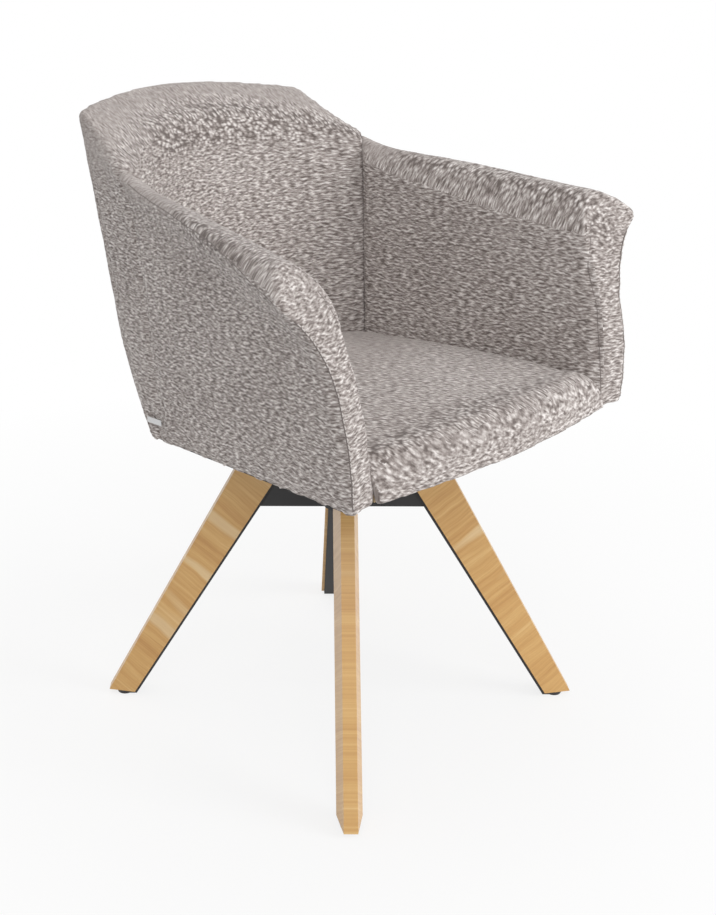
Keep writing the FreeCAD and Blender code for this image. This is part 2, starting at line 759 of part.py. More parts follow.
def arm_full_section(y):
    lip_start, seam, top, inner = arm_points(y)
    low = bottom_z(y)
    floor_out = V(side_x(y, low), y, low)
    floor_in = V(arm_inner_x(y, low), y, low)
    return Part.Wire([
        line(floor_out, lip_start),
        lip_arc(lip_start, seam),
        roll_arc(seam, top),
        inner_arc(top, inner),
        line(inner, floor_in),
        line(floor_in, floor_out),
    ])


def side_frame_top(lip_start):
    return lip_start.z - SIDE_FRAME_TOP_GAP


def arm_pad_section(y):
    lip_start, seam, top, inner = arm_points(y)
    skin = V(-SIDE_COVER_THICKNESS, 0, 0)
    low = bottom_z(y) + board_depth()
    step_z = side_frame_top(lip_start)
    frame_face = SIDE_COVER_THICKNESS + FRAME_THICKNESS
    step_in = V(side_x(y, step_z) - frame_face, y, step_z)
    step_out = V(side_x(y, step_z) - SIDE_COVER_THICKNESS, y, step_z)
    floor_out = V(side_x(y, low) - frame_face, y, low)
    floor_in = V(arm_inner_x(y, low), y, low)
    return Part.Wire([
        line(floor_out, step_in),
        line(step_in, step_out),
        line(step_out, lip_start + skin),
        lip_arc(lip_start + skin, seam + skin),
        line(seam + skin, seam),
        roll_arc(seam, top),
        inner_arc(top, inner),
        line(inner, floor_in),
        line(floor_in, floor_out),
    ])


def side_frame_section(y):
    lip_start = arm_points(y)[0]
    low = board_bottom_z(y)
    high = side_frame_top(lip_start)
    outer = SIDE_COVER_THICKNESS
    inner = outer + FRAME_THICKNESS
    points = [
        V(side_x(y, low) - inner, y, low),
        V(side_x(y, low) - outer, y, low),
        V(side_x(y, high) - outer, y, high),
        V(side_x(y, high) - inner, y, high),
    ]
    return Part.makePolygon(points + [points[0]])


def side_cover_section(y):
    lip_start, seam, top, inner = arm_points(y)
    skin = V(-SIDE_COVER_THICKNESS, 0, 0)
    low = bottom_z(y)
    floor = V(side_x(y, low), y, low)
    return Part.Wire([
        line(floor, lip_start),
        lip_arc(lip_start, seam),
        line(seam, seam + skin),
        lip_arc(lip_start + skin, seam + skin),
        line(lip_start + skin, floor + skin),
        line(floor + skin, floor),
    ])


def inside_cover_section(y):
    """Everything inside the side cover, from far on the other side of the chair."""
    lip_start, seam, top, inner = arm_points(y)
    skin = V(-SIDE_COVER_THICKNESS, 0, 0)
    low = bottom_z(y) - CUT_MARGIN
    high = top.z + CUT_MARGIN
    corner = seam + skin
    floor = V(side_x(y, low), y, low) + skin
    return Part.Wire([
        line(floor, lip_start + skin),
        lip_arc(lip_start + skin, corner),
        line(corner, V(corner.x, y, high)),
        line(V(corner.x, y, high), V(-REACH, y, high)),
        line(V(-REACH, y, high), V(-REACH, y, low)),
        line(V(-REACH, y, low), floor),
    ])


def arm_loft(section):
    return Part.makeLoft([section(y) for y in ARM_STATIONS], True, False)


FACING_START = V(0, FACING_LOW_Y, FACING_STRAIGHT_Z)
FACING_MIDDLE = V(0, FACING_MIDDLE_Y, FACING_MIDDLE_Z)
FACING_HIGH = V(0, FACING_HIGH_Y, FACING_HIGH_Z)
FACING_CREST = V(0, FACING_CREST_Y, FACING_CREST_Z)
FACING_TOP = V(0, FACING_TOP_Y, ARM_TOP_Z)


def front_region(inset):
    """Everything in front of the arm's front face, the face moved back by inset."""
    low_z = LOWER_RACE_Z
    high_z = BACK_TOP_Z
    profile = face_of([
        line(V(0, FACING_LOW_Y, low_z), FACING_START),
        arc(FACING_START, FACING_MIDDLE, FACING_HIGH),
        arc(FACING_HIGH, FACING_CREST, FACING_TOP),
        line(FACING_TOP, V(0, FACING_TOP_Y, high_z)),
        line(V(0, FACING_TOP_Y, high_z), V(0, -REACH, high_z)),
        line(V(0, -REACH, high_z), V(0, -REACH, low_z)),
        line(V(0, -REACH, low_z), V(0, FACING_LOW_Y, low_z)),
    ])
    lead = SHELL_REACH - FACING_REFERENCE_X
    profile.translate(V(SHELL_REACH, inset - lead * FACING_TURN, 0))
    return profile.extrude(V(-SHELL_REACH, SHELL_REACH * FACING_TURN, 0))


def front_face_y(x, z):
    turn = -FACING_TURN * (x - FACING_REFERENCE_X)
    if z <= FACING_STRAIGHT_Z:
        return FACING_LOW_Y + turn
    if z <= FACING_HIGH_Z:
        return arc_y(FACING_START, FACING_MIDDLE, FACING_HIGH, z) + turn
    return arc_y(FACING_HIGH, FACING_CREST, FACING_TOP, z) + turn


def lip_point(y, share):
    """A point of the flared lip at station y, from 0 at its foot to 1 at the seam."""
    lip_start, seam, top, inner = arm_points(y)
    curve = Part.Arc(lip_start, lip_middle(lip_start, seam), seam)
    return curve.value(between(curve.FirstParameter, curve.LastParameter, share))


def wall_point(y, share):
    """A point of the flat side at station y, from 0 at the bottom to 1 at the lip's foot."""
    foot = arm_points(y)[0]
    z = between(bottom_z(y), foot.z, share)
    return V(side_x(y, z), y, z)


def on_front_face(point_at, share):
    """Slides a point of the side along the chair until it lies on the front face."""
    point = point_at(SHELL_FRONT_Y, share)
    for step in range(FIT_STEPS):
        point = point_at(front_face_y(point.x, point.z), share)
    return point


def piping_points():
    """The line of the welt between the side panel and the front face."""
    wall = [on_front_face(wall_point, share) for share in PIPING_WALL_SHARES]
    lip = [on_front_face(lip_point, share) for share in PIPING_LIP_SHARES]
    standoff = (PIPING_RADIUS + SOFT_GAP) / math.sqrt(2)
    return [point + V(standoff, -standoff, 0) for point in wall + lip]


def rounded_path(points, share):
    """Straight runs joined by tangent arcs, each arc sized by its shorter run."""
    edges = []
    start = points[0]
    for index in range(1, len(points) - 1):
        corner = points[index]
        back = points[index - 1] - corner
        ahead = points[index + 1] - corner
        trim = share * min(back.Length, ahead.Length)
        back.normalize()
        ahead.normalize()
        first = corner + back * trim
        last = corner + ahead * trim
        half_turn = (math.pi - back.getAngle(ahead)) / 2
        radius = trim / math.tan(half_turn)
        inward = back + ahead
        inward.normalize()
        centre = corner + inward * math.hypot(radius, trim)
        middle = centre - inward * radius
        edges.append(line(start, first))
        edges.append(arc(first, middle, last))
        start = last
    edges.append(line(start, points[-1]))
    return Part.Wire(edges)


def piping():
    points = piping_points()
    path = rounded_path(points, PIPING_BEND_SHARE)
    ring = Part.makeCircle(PIPING_RADIUS, points[0], points[1] - points[0])
    return path.makePipeShell([Part.Wire([ring])], True, False)


def behind_back():
    sections = []
    for x in BACK_STATIONS:
        low, mid, high = back_outer_low(x, 0)
        ridge = back_ridge(x, 0)
        crown = V(x, ridge.y + (ridge.y - high.y) * 0.4, ridge.z + (ridge.z - high.z) * 0.4)
        under = V(x, low.y - 60, low.z - 80)
        sections.append(Part.Wire([
            line(under, low),
            arc(low, mid, high),
            line(high, crown),
            line(crown, V(x, REACH, crown.z)),
            line(V(x, REACH, crown.z), V(x, REACH, under.z)),
            line(V(x, REACH, under.z), under),
        ]))
    return Part.makeLoft(sections, True, False)


def side_tag():
    length = V(0, -TAG_LENGTH, TAG_LENGTH * SHELL_BOTTOM_RAKE)
    high = V(SIDE_LEAN * TAG_HEIGHT, 0, TAG_HEIGHT)
    y = BACK_OUTER_BOTTOM_Y - sagitta(BACK_OUTER_RADIUS, SEAM_INNER_X) - TAG_BACK_DISTANCE
    z = bottom_z(y) + TAG_RISE
    corner = V(side_x(y, z), y, z)
    second = corner + length
    second.x = side_x(second.y, second.z)
    run = second - corner
    plate = polygon_face([corner, second, second + high, corner + high])
    outward = run.cross(high)
    outward.normalize()
    if outward.x < 0:
        outward = outward * -1
    plate.translate(outward * TAG_STANDOFF)
    return plate.extrude(outward * TAG_THICKNESS)


# Seat pieces

def seat_front_y(x):
    return SHELL_FRONT_Y - SEAT_FRONT_BOW * (1 - (x / ARM_INNER_HALF_WIDTH) ** 2)


def seat_top_z(x):
    return SEAT_TOP_Z + SEAT_CROWN * max(0.0, 1 - (x / ARM_INNER_HALF_WIDTH) ** 2)


def seat_section(x):
    front = seat_front_y(x)
    low_front = V(x, front, bottom_z(front))
    inner_y = front + SEAT_FRONT_WRAP
    wrap_low = V(x, inner_y, bottom_z(inner_y))
    wrap_high = V(x, inner_y, board_top_z(inner_y))
    top = seat_top_z(x)
    rear_z = top - SEAT_REAR_DROP
    back_high = V(x, back_inner_y(x, rear_z) - SEAT_BACK_GAP, rear_z)
    back_low = on_level(x, back_high.y, board_depth(), lambda z: back_inner_y(x, z) - SEAT_BACK_GAP)
    round_end = V(x, front + SEAT_FRONT_ROUND, top - 3)
    round_middle = V(x, front + SEAT_FRONT_ROUND * 0.22, between(low_front.z, top - 3, 0.72))
    crown_middle = V(x, between(round_end.y, back_high.y, 0.5), top)
    return Part.Wire([
        line(back_low, wrap_high),
        line(wrap_high, wrap_low),
        line(wrap_low, low_front),
        arc(low_front, round_middle, round_end),
        arc(round_end, crown_middle, back_high),
        line(back_high, back_low),
    ])


def seat_cushion():
    loft = Part.makeLoft([seat_section(x) for x in BACK_STATIONS], True, False)
    return loft.common(between_planes(arm_inner_x, SOFT_GAP)).cut(insert_flange_space())


def insert_flange_space():
    return Part.makeCompound([insert_solid(x, y, False) for x, y in bolt_places()])


def floor_block(side_inset, back_inset):
    """The shell's plan: a bowed front, leaning sides and a back in plan an arc."""
    front_y = SHELL_FRONT_Y + SEAT_FRONT_WRAP + SOFT_GAP
    nose_y = seat_front_y(0) + SEAT_FRONT_WRAP + SOFT_GAP
    back_y = BACK_OUTER_BOTTOM_Y - back_inset
    front_x = ARM_INNER_HALF_WIDTH
    wide_x = SHELL_REACH
    back_x = BACK_STATIONS[-1]
    wing_y = back_y - sagitta(BACK_OUTER_RADIUS, back_x)
    low = LOWER_RACE_Z
    edges = [
        arc(V(front_x, front_y, low), V(0, nose_y, low), V(-front_x, front_y, low)),
        line(V(-front_x, front_y, low), V(-wide_x, front_y, low)),
        line(V(-wide_x, front_y, low), V(-wide_x, wing_y, low)),
        line(V(-wide_x, wing_y, low), V(-back_x, wing_y, low)),
        arc(V(-back_x, wing_y, low), V(0, back_y, low), V(back_x, wing_y, low)),
        line(V(back_x, wing_y, low), V(wide_x, wing_y, low)),
        line(V(wide_x, wing_y, low), V(wide_x, front_y, low)),
        line(V(wide_x, front_y, low), V(front_x, front_y, low)),
    ]
    block = face_of(edges).extrude(V(0, 0, SEAT_TOP_Z - low))
    return block.common(between_planes(side_x, side_inset))


def seat_board():
    side_inset = SIDE_COVER_THICKNESS + FRAME_THICKNESS
    block = floor_block(side_inset, BACK_COVER_THICKNESS + BACK_FRAME_THICKNESS)
    board = block.common(shell_slab(BOTTOM_COVER_THICKNESS, board_depth()))
    for x, y in bolt_places():
        board = board.cut(Part.makeCylinder(INSERT_RADIUS, REACH, V(x, y, 0)))
    return board


def bottom_cover():
    block = floor_block(SIDE_COVER_THICKNESS, BACK_COVER_THICKNESS)
    cover = block.common(shell_slab(0, BOTTOM_COVER_THICKNESS))
    for x, y in bolt_places():
        cover = cover.cut(Part.makeCylinder(MOUNT_BOLT_RADIUS + HOLE_CLEARANCE, REACH, V(x, y, 0)))
    return cover


def frame_screws():
    """Screws through the side frames into the edges of the seat board."""
    screws = []
    for index in range(FRAME_SCREW_COUNT):
        y = between(SHELL_FRONT_Y + 60, SEAM_INNER_Y - 10, index / (FRAME_SCREW_COUNT - 1))
        z = board_bottom_z(y) + BOARD_THICKNESS / 2
        x = side_x(y, z) - SIDE_COVER_THICKNESS - FRAME_SCREW_SINK
        screw = Part.makeCylinder(FRAME_SCREW_RADIUS, FRAME_SCREW_LENGTH, V(x, y, z), V(-1, 0, 0))
        screws.append(screw)
        screws.append(mirrored(screw))
    return Part.makeCompound(screws)


def export(shape, name):
    middle_y = (BACK_OUTER_TOP_Y + seat_front_y(0)) / 2
    placed = shape.copy()
    placed.translate(V(0, -middle_y, 0))
    placed.exportStep("parts/" + name + ".step")
    box = placed.BoundBox
    print(name, "solids", len(placed.Solids), "valid", placed.isValid(),
          "volume", round(placed.Volume), "z", round(box.ZMin, 1), round(box.ZMax, 1))


def build():
    os.makedirs("parts", exist_ok=True)
    for name, turn in LEG_TURNS.items():
        export(around(leg(), turn), "leg_" + name)
        export(around(leg_strap(), turn), "leg_strap_" + name)
        export(around(foot_glide(), turn), "foot_glide_" + name)
        export(around(beam_arm(), turn), "cross_arm_" + name)
    export(leg_screws(), "leg_screws")
    export(hub_tube(), "hub_tube")
    export(lower_plate(), "swivel_lower_plate")
    export(spindle_bush(), "spindle_bush")
    export(race(LOWER_RACE_Z), "lower_race")
    export(race(UPPER_RACE_Z), "upper_race")
    export(bearing_balls(), "bearing_balls")
    export(ball_cage(), "ball_cage")
    export(upper_plate(), "swivel_upper_plate")
    export(spindle(), "spindle")
    export(spindle_washer(), "spindle_washer")
    export(spindle_nut(), "spindle_nut")
    export(mount_bolts(), "mount_bolts")
    export(threaded_inserts(), "threaded_inserts")
    export(mount_rail(), "mount_rail_left")
    export(mirrored(mount_rail()), "mount_rail_right")

    screws = frame_screws()
    export(screws, "frame_screws")
    export(seat_cushion(), "seat_cushion")

    wedge = seam_wedge()
    front = front_region(FACING_THICKNESS)
    behind = behind_back()
    pad = arm_loft(arm_pad_section).cut(wedge).cut(front)
    side_frame = arm_loft(side_frame_section).cut(wedge).cut(front).cut(screws)
    side_cover = arm_loft(side_cover_section).cut(behind).cut(front)
    facing = arm_loft(arm_full_section).common(front).cut(front_region(0))
    for shape, name in ((seat_board().cut(screws), "seat_board"), (bottom_cover(), "bottom_cover")):
        export(shape.cut(facing).cut(mirrored(facing)), name)
    welt = piping()
    tag = side_tag()
    for shape, name in ((pad, "arm_pad"), (side_frame, "side_frame"), (side_cover, "side_cover"),
                        (facing, "arm_facing"), (welt, "piping")):
        export(shape, name + "_left")
        export(mirrored(shape), name + "_right")
    export(mirrored(tag), "side_tag")

    export(back_piece(back_pad_section), "back_pad")
    export(back_piece(back_frame_section), "back_frame")
    export(back_piece(back_cover_section), "back_cover")


build()
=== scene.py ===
import json
import math

import bmesh
import bpy
import numpy as np
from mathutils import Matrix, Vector
from mathutils.bvhtree import BVHTree


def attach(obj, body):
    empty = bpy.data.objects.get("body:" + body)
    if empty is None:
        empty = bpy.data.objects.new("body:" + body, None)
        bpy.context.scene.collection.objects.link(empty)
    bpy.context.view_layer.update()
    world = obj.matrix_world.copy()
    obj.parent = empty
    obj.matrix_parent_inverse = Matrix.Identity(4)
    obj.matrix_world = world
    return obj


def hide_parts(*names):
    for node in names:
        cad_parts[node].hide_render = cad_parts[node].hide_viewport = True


# Swivel tub chair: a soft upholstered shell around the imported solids.
# Lengths are in metres, in the frame of the solids; the chair faces -Y.

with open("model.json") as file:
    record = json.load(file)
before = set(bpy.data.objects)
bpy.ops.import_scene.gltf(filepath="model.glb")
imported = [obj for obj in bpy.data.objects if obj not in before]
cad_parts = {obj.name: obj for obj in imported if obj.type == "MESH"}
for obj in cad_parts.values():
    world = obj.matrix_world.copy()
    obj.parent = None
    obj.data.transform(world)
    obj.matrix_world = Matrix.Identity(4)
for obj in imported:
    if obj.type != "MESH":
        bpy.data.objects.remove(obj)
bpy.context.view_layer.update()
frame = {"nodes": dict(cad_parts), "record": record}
NODES = frame["nodes"]
SCENE = bpy.context.scene
SIDES = (("left", 1.0), ("right", -1.0))

AXIS_Y = -0.036         # where the swivel axis crosses Y
WELD = 1e-6             # points closer than this are one
EDGE_ROUND = 0.0007     # round on worked edges of wood and steel

VOXEL = 0.0044          # grid of the upholstery skins
FRAMES = 20             # frames of each cloth run
HELD_IN = 0.0003        # how far the cloth may draw in behind the outline of the solids
RELIEF_LENGTH = 0.007   # one fibre of the skin's own relief
RELIEF_WIDTH = 0.0024
RELIEF_DEPTH = 0.00025
BACK_OVERLAP = 0.0030   # how far the back's edges stand over the arms' rear ends
REAR_TUCK = 0.0006      # how far those ends draw in under it
REAR_FOOT = 0.0028      # and stand out again at their foot
TIP_BULGE = {"left": 0.015, "right": 0.003}
FRINGE = {"left": 1.0, "right": 0.3}    # strength of the loops along the arm's inner edge

LINE_STEP = 0.003       # spacing of the points of a seam laid on a skin
CORD_SIDES = 8
STITCH_PITCH = 0.007
STITCH_LENGTH = 0.0044

WHITE = (1.0, 1.0, 1.0, 1.0)


# Colours and node helpers

def srgb(r, g, b):
    def linear(c):
        c /= 255.0
        return c / 12.92 if c <= 0.04045 else ((c + 0.055) / 1.055) ** 2.4
    return (linear(r), linear(g), linear(b), 1.0)


class Tree:
    """A short way to write the node tree of a material or a world."""

    def __init__(self, owner):
        owner.use_nodes = True
        self.owner = owner
        self.tree = owner.node_tree
        self.shader = self.tree.nodes.get("Principled BSDF")

    def node(self, kind, inputs=(), **settings):
        made = self.tree.nodes.new(kind)
        for key, value in settings.items():
            setattr(made, key, value)
        for key, value in dict(inputs).items():
            self.put(made.inputs[key], value)
        return made

    def put(self, socket, value):
        if isinstance(value, bpy.types.NodeSocket):
            self.tree.links.new(value, socket)
        else:
            socket.default_value = value

    def math(self, operation, a, b=0.0, c=0.0):
        made = self.node("ShaderNodeMath", {0: a, 1: b, 2: c}, operation=operation)
        return made.outputs[0]

    def times_plus(self, value, factor, added):
        return self.math("MULTIPLY_ADD", value, factor, added)

    def centred(self, value):
        """A value from 0 to 1, moved to run from -0.5 to 0.5."""
        return self.math("SUBTRACT", value, 0.5)

    def vector(self, x=0.0, y=0.0, z=0.0):
        return self.node("ShaderNodeCombineXYZ", {0: x, 1: y, 2: z}).outputs[0]

    def object_place(self):
        return self.node("ShaderNodeTexCoord").outputs["Object"]

    def fit(self, value, low, high, to_low=0.0, to_high=1.0):
        made = self.node("ShaderNodeMapRange",
                         {0: value, 1: low, 2: high, 3: to_low, 4: to_high})
        return made.outputs[0]

    def mapped(self, vector, scale, turn=0.0, move=(0.0, 0.0, 0.0)):
        made = self.node("ShaderNodeMapping", {"Vector": vector, "Scale": scale,
                                               "Rotation": (0.0, 0.0, turn), "Location": move})
        return made.outputs[0]

    def noise(self, vector, scale=1.0, detail=2.0, rough=0.5, distortion=0.0):
        made = self.node("ShaderNodeTexNoise",
                         {"Vector": vector, "Scale": scale, "Detail": detail,
                          "Roughness": rough, "Distortion": distortion})
        return made.outputs[0]

    def ramp(self, value, stops):
        made = self.node("ShaderNodeValToRGB", {0: value})
        points = made.color_ramp.elements
        while len(points) < len(stops):
            points.new(0.5)
        for point, (place, colour) in zip(points, stops):
            point.position = place
            point.color = colour
        return made.outputs[0]

    def mix(self, factor, a, b):
        made = self.node("ShaderNodeMix", {0: factor, 6: a, 7: b}, data_type="RGBA")
        return made.outputs[2]

    def bump(self, height, strength, distance):
        made = self.node("ShaderNodeBump",
                         {"Height": height, "Strength": strength, "Distance": distance})
        self.put(self.shader.inputs["Normal"], made.outputs[0])

    def finish(self, colour, roughness, **rest):
        """Sets the shader's inputs, by name with _ for a space, and gives the material."""
        self.put(self.shader.inputs["Base Color"], colour)
        self.put(self.shader.inputs["Roughness"], roughness)
        for key, value in rest.items():
            self.put(self.shader.inputs[key.replace("_", " ")], value)
        return self.owner


# Materials

FIBRE_LENGTH = 0.0092
FIBRE_WIDTH = 0.0026
FIBRE_TURN = 0.38               # radians between the crossed layers
FIBRE_SHARES = (0.56, 0.24, 0.20)
FUZZ_SHARE = 0.75
PATCH_SHARE = 0.25
LOOP_CELLS = (165.0, 215.0, 1.0)  # loops a metre, along and across the weave
TONES = ((0.0, srgb(108, 99, 95)), (0.36, srgb(150, 141, 137)),
         (0.62, srgb(178, 170, 166)), (1.0, srgb(226, 220, 217)))


def fabric(name):
    """A melange boucle: crossed fibres along the weave, coarser loops where it is gathered.

    It reads two numbers of the skin: loops, how gathered it is, and calm, how even it is.
    """
    t = Tree(bpy.data.materials.new(name))
    weave = t.node("ShaderNodeUVMap", uv_map="weave").outputs[0]
    sway = t.math("MULTIPLY", t.centred(t.noise(weave, 40.0, 1.0)), 0.005)
    swayed = t.node("ShaderNodeVectorMath", {0: weave, 1: t.vector(y=sway)},
                    operation="ADD").outputs[0]
    scale = (1.0 / FIBRE_LENGTH, 1.0 / FIBRE_WIDTH, 1.0)
    layers = []
    for turn, move in ((0.0, 0.0), (FIBRE_TURN, 3.7), (-FIBRE_TURN, 9.1)):
        turned = t.mapped(swayed, (1.0, 1.0, 1.0), turn)
        layers.append(t.noise(t.mapped(turned, scale, 0.0, (move, move, 0.0)), 1.0, 1.5, 0.5, 0.1))
    crossed = t.math("MULTIPLY", layers[2], FIBRE_SHARES[2])
    crossed = t.times_plus(layers[1], FIBRE_SHARES[1], crossed)
    crossed = t.times_plus(layers[0], FIBRE_SHARES[0], crossed)
    loops = t.node("ShaderNodeAttribute", attribute_name="loops").outputs["Fac"]
    calm = t.node("ShaderNodeAttribute", attribute_name="calm").outputs["Fac"]
    cells = t.node("ShaderNodeTexVoronoi",
                   {"Vector": t.mapped(swayed, LOOP_CELLS), "Scale": 1.0, "Smoothness": 0.25},
                   feature="SMOOTH_F1")
    knot = t.times_plus(cells.outputs[0], -1.45, 1.16)
    fuzz = t.noise(weave, 950.0, 2.0, 0.65)
    contrast = t.fit(calm, 0.0, 1.0, 4.1, 1.8)
    fibre = t.times_plus(t.centred(crossed), contrast, 0.5)
    fibre = t.times_plus(t.centred(fuzz), FUZZ_SHARE, fibre)
    looped = t.times_plus(t.centred(fibre), 0.6, knot)
    value = t.times_plus(loops, t.math("SUBTRACT", looped, fibre), fibre)
    value = t.times_plus(t.centred(t.noise(weave, 9.0, 2.0)), PATCH_SHARE, value)
    height = t.math("MULTIPLY", value, t.fit(loops, 0.0, 1.0, 1.0, 2.2))
    t.bump(height, 0.6, 0.0012)
    return t.finish(t.ramp(value, TONES), 0.92, Sheen_Weight=0.15, Sheen_Roughness=0.45,
                    Specular_IOR_Level=0.2)


LEG_RISE = 0.87                 # the legs' tilt: upward part of their length
LEG_SPREAD = 0.49               # and the part away from the axis
GRAIN_SLANT = -0.16
GRAIN_WANDER = 0.010
OAK_TONES = ((0.0, srgb(184, 134, 74)), (0.4, srgb(201, 155, 92)),
             (0.65, srgb(210, 167, 104)), (1.0, srgb(224, 188, 130)))
OAK_PALE = srgb(228, 202, 158)


def wood():
    """Oak with its grain across each leg, a little different on every leg."""
    t = Tree(bpy.data.materials.new("oak_across"))
    x, y, z = t.node("ShaderNodeSeparateXYZ", {0: t.object_place()}).outputs[:3]
    y = t.math("SUBTRACT", y, AXIS_Y)
    out = t.math("SQRT", t.math("ADD", t.math("MULTIPLY", x, x), t.math("MULTIPLY", y, y)))
    along = t.times_plus(z, LEG_RISE, t.math("MULTIPLY", out, -LEG_SPREAD))
    across = t.times_plus(z, LEG_SPREAD, t.math("MULTIPLY", out, LEG_RISE))
    leg = t.times_plus(t.math("SIGN", x), 3.1, t.math("MULTIPLY", t.math("SIGN", y), 7.7))
    wander = t.noise(t.mapped(t.vector(across, leg, along), (16.0, 1.0, 16.0)), 1.0, 2.0)
    tilted = t.times_plus(across, GRAIN_SLANT, along)
    bent = t.times_plus(t.centred(wander), GRAIN_WANDER, tilted)
    grain = t.vector(across, leg, bent)
    broad = t.noise(t.mapped(grain, (5.0, 1.0, 75.0)), 1.0, 3.0, 0.55)
    fine = t.noise(t.mapped(grain, (22.0, 1.0, 650.0)), 1.0, 3.0, 0.6)
    rings = t.noise(t.mapped(grain, (3.0, 1.0, 260.0)), 1.0, 2.0, 0.5)
    value = t.times_plus(broad, 0.6, t.times_plus(fine, 0.45, t.math("MULTIPLY", rings, 0.4)))
    colour = t.ramp(t.fit(value, 0.45, 1.0), OAK_TONES)
    streak = t.noise(t.mapped(grain, (2.0, 1.0, 26.0), 0.0, (0.0, 0.0, 4.0)), 1.0, 1.0)
    pale = t.math("MULTIPLY", t.fit(streak, 0.64, 0.70), 0.6)
    t.bump(fine, 0.08, 0.0004)
    return t.finish(t.mix(pale, colour, OAK_PALE), 0.4, Coat_Weight=0.3, Coat_Roughness=0.2)


def metal(name, colour, metallic, roughness, grain):
    """Metal, paint or plastic with a fine grain; grain is specks a metre."""
    t = Tree(bpy.data.materials.new(name))
    speck = t.noise(t.object_place(), grain, 3.0, 0.6)
    patch = t.noise(t.object_place(), 18.0, 2.0)
    shade = t.times_plus(speck, 0.25, t.math("MULTIPLY", patch, 0.2))
    dark = tuple(c * 0.82 for c in colour[:3]) + (1.0,)
    light = tuple(min(1.0, c * 1.18) for c in colour[:3]) + (1.0,)
    t.bump(speck, 0.12, 0.0003)
    rough = t.fit(t.math("ADD", speck, patch), 0.6, 1.4, roughness - 0.06, roughness + 0.06)
    return t.finish(t.mix(t.fit(shade, 0.12, 0.33), dark, light), rough, Metallic=metallic)


def plywood(name, low, high):
    t = Tree(bpy.data.materials.new(name))
    grain = t.noise(t.mapped(t.object_place(), (400.0, 9.0, 700.0)), 1.0, 3.0, 0.6)
    t.bump(grain, 0.1, 0.0003)
    return t.finish(t.ramp(grain, [(0.3, low), (0.7, high)]), 0.7)


def threads(name, low, high, pitch):
    """Plain woven threads in two directions, for tape, sewing thread and thin cloth."""
    t = Tree(bpy.data.materials.new(name))
    warp, weft = [
        t.node("ShaderNodeTexWave",
               {"Vector": t.object_place(), "Scale": pitch, "Distortion": 0.6,
                "Detail": 1.0, "Detail Scale": 3.0}, bands_direction=direction).outputs[1]
        for direction in "ZY"]
    value = t.math("MULTIPLY", t.math("ADD", warp, weft), 0.5)
    t.bump(value, 0.25, 0.0003)
    return t.finish(t.ramp(value, [(0.2, low), (0.8, high)]), 0.85, Sheen_Weight=0.1)


FABRIC = fabric("melange_fabric")
THREAD = threads("light_thread", srgb(190, 182, 178), srgb(222, 216, 212), 900.0)
# dark thread colour for the cords along the front seam and in the folds: painted shade
SHADOW_THREAD = threads("painted_fold_shade", srgb(104, 95, 92), srgb(134, 125, 121), 700.0)
OAK = wood()
BLACK_STEEL = metal("black_powder_coat", srgb(46, 45, 46), 0.0, 0.55, 2600.0)
ZINC = metal("zinc_plate", srgb(176, 178, 180), 1.0, 0.35, 900.0)
BALL_STEEL = metal("ball_steel", srgb(200, 202, 205), 1.0, 0.15, 600.0)
BLACK_PLASTIC = metal("black_nylon", srgb(38, 38, 39), 0.0, 0.5, 1500.0)
PLY = plywood("birch_ply", srgb(178, 150, 112), srgb(206, 182, 146))
BLACK_WOOD = plywood("black_stained_wood", srgb(36, 35, 35), srgb(54, 52, 51))
DUST_CLOTH = threads("dust_cloth", srgb(30, 30, 31), srgb(48, 48, 49), 260.0)
TAG_CLOTH = threads("tag_satin", srgb(212, 212, 212), srgb(232, 232, 232), 420.0)

SLOT_MATERIAL = {
    "oak": OAK, "frame_wood": PLY, "black_wood": BLACK_WOOD, "black_steel": BLACK_STEEL,
    "zinc_steel": ZINC, "bearing_steel": BALL_STEEL, "black_plastic": BLACK_PLASTIC,
    "upholstery": FABRIC, "dust_cloth": DUST_CLOTH, "tag_cloth": TAG_CLOTH,
}


def dress_cad_nodes():
    """Every carried-over solid gets its finish, and worked edges get a small round."""
    for part in frame["record"]["subparts"]:
        obj = NODES[part["node"]]
        obj.data.materials.clear()
        dark = part["node"] == "leg_screws"
        obj.data.materials.append(BLACK_STEEL if dark else SLOT_MATERIAL[part["material_slot"]])
        if part["node"].startswith(("leg_", "cross_arm_", "swivel_", "mount_rail_")):
            edge = obj.modifiers.new("edge", "BEVEL")
            edge.width = EDGE_ROUND
            edge.segments = 2
            edge.limit_method = "ANGLE"
            edge.angle_limit = math.radians(35.0)


# Mesh helpers

def vectors(items, field):
    """One vector for each of a mesh's points or faces."""
    values = np.zeros(len(items) * 3, np.float32)
    items.foreach_get(field, values)
    return values.reshape(-1, 3).astype(float)


def points_of(obj):
    return vectors(obj.data.vertices, "co")


def normals_of(obj):
    return vectors(obj.data.vertices, "normal")


def set_points(obj, points):
    obj.data.vertices.foreach_set("co", points.astype(np.float32).ravel())
    obj.data.update()


def baked(obj):
    """The object's mesh with its modifiers applied."""
    graph = bpy.context.evaluated_depsgraph_get()
    return bpy.data.meshes.new_from_object(obj.evaluated_get(graph))


def use_mesh(obj, mesh):
    """Gives the object a new mesh and drops its old one and its modifiers."""
    old = obj.data
    obj.modifiers.clear()
    obj.data = mesh
    bpy.data.meshes.remove(old)


def linked(name, data):
    obj = bpy.data.objects.new(name, data)
    SCENE.collection.objects.link(obj)
    return obj


def remeshed(name, sources, voxel=VOXEL):
    """One closed skin around several solids, on an even grid."""
    bm = bmesh.new()
    for source in sources:
        bm.from_mesh(NODES[source].data)
    bmesh.ops.remove_doubles(bm, verts=bm.verts, dist=WELD)
    mesh = bpy.data.meshes.new(name)
    bm.to_mesh(mesh)
    bm.free()
    obj = linked(name, mesh)
    modifier = obj.modifiers.new("skin", "REMESH")
    modifier.mode = "VOXEL"
    modifier.voxel_size = voxel
    use_mesh(obj, baked(obj))
    obj.data.name = name
    return obj


